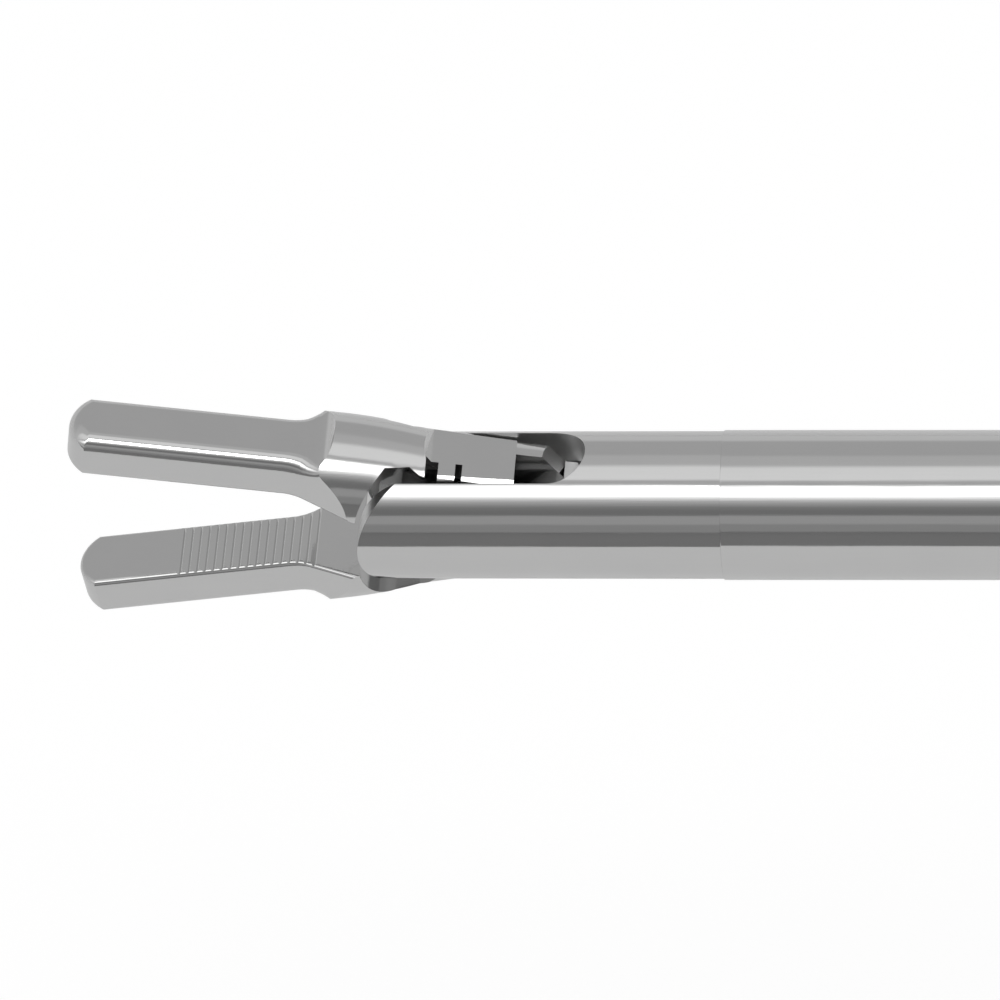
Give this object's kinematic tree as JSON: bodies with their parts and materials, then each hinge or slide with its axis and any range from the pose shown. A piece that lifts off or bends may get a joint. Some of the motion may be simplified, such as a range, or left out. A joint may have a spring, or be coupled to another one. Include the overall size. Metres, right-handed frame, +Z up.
{
  "type": "laparoscopic clip remover",
  "caption": "Long keyhole-surgery clip remover with blunt serrated jaws on a slim steel tube, a turning knob, a flush port and a ring handle.",
  "frame": {"origin": "on the shaft's axis, 10 mm behind the jaw pivot, just inside the front end of the plain tube", "axes": "-X along the shaft towards the jaw tips, +X towards the handle, +Z up, away from the ring handle, Y along the jaw pivot"},
  "size_m": [0.423, 0.0252, 0.1037],
  "materials": {
    "jaw_steel": "fine satin, bright edges",
    "shaft_steel": "polished along the shaft",
    "pin_steel": "turned and polished",
    "port_steel": "turned",
    "bronze_bush": "plain turned",
    "guide_plastic": "natural white",
    "seal_rubber": "smooth",
    "knob_plastic": "fine moulded grain",
    "handle_plastic": "fine moulded grain"
  },
  "bodies": {
    "handle": {"handle_body": "handle_plastic", "lever_screw": "pin_steel", "lever_nut": "pin_steel", "thrust_washer": "guide_plastic"},
    "shaft": {"end_fork": "shaft_steel", "pivot_pin": "pin_steel", "outer_tube": "shaft_steel", "rod_guides": "guide_plastic", "flush_collar": "shaft_steel", "flush_port": "port_steel", "shaft_hub": "shaft_steel", "rotation_knob": "knob_plastic", "knob_screws": "pin_steel", "retaining_ring": "pin_steel", "rod_seal": "seal_rubber", "seal_cap": "pin_steel"},
    "rod": {"push_rod": "pin_steel", "drive_yoke": "pin_steel", "cam_pin": "pin_steel", "rod_ball": "pin_steel", "rod_lock_nut": "pin_steel"},
    "upper_jaw": {"upper_jaw": "jaw_steel"},
    "lower_jaw": {"lower_jaw": "jaw_steel"},
    "lever": {"thumb_lever": "handle_plastic", "lever_bush": "bronze_bush"}
  },
  "joints": [
    {"name": "lever_squeeze", "type": "hinge", "parent": "handle", "child": "lever", "pos_m": [0.32475, 0, -0.014], "axis": [0, 1, 0], "range_deg": [0, 14.33]},
    {"name": "shaft_turn", "type": "hinge", "parent": "handle", "child": "shaft", "pos_m": [0.309, 0, 0], "axis": [1, 0, 0], "continuous": true},
    {"name": "rod_pull", "type": "slide", "parent": "shaft", "child": "rod", "axis": [1, 0, 0], "range_m": [0, 0.0035]},
    {"name": "upper_jaw_swing", "type": "hinge", "parent": "shaft", "child": "upper_jaw", "pos_m": [-0.01, 0, 0], "axis": [0, 1, 0], "range_deg": [-8, 0]},
    {"name": "lower_jaw_swing", "type": "hinge", "parent": "shaft", "child": "lower_jaw", "pos_m": [-0.01, 0, 0], "axis": [0, 1, 0], "range_deg": [0, 8]}
  ],
  "couplings": [
    {"joint": "lever_squeeze", "follows": "rod_pull", "rad_per_m": 71.429},
    {"joint": "upper_jaw_swing", "follows": "rod_pull", "rad_per_m": -39.893},
    {"joint": "lower_jaw_swing", "follows": "rod_pull", "rad_per_m": 39.893}
  ]
}
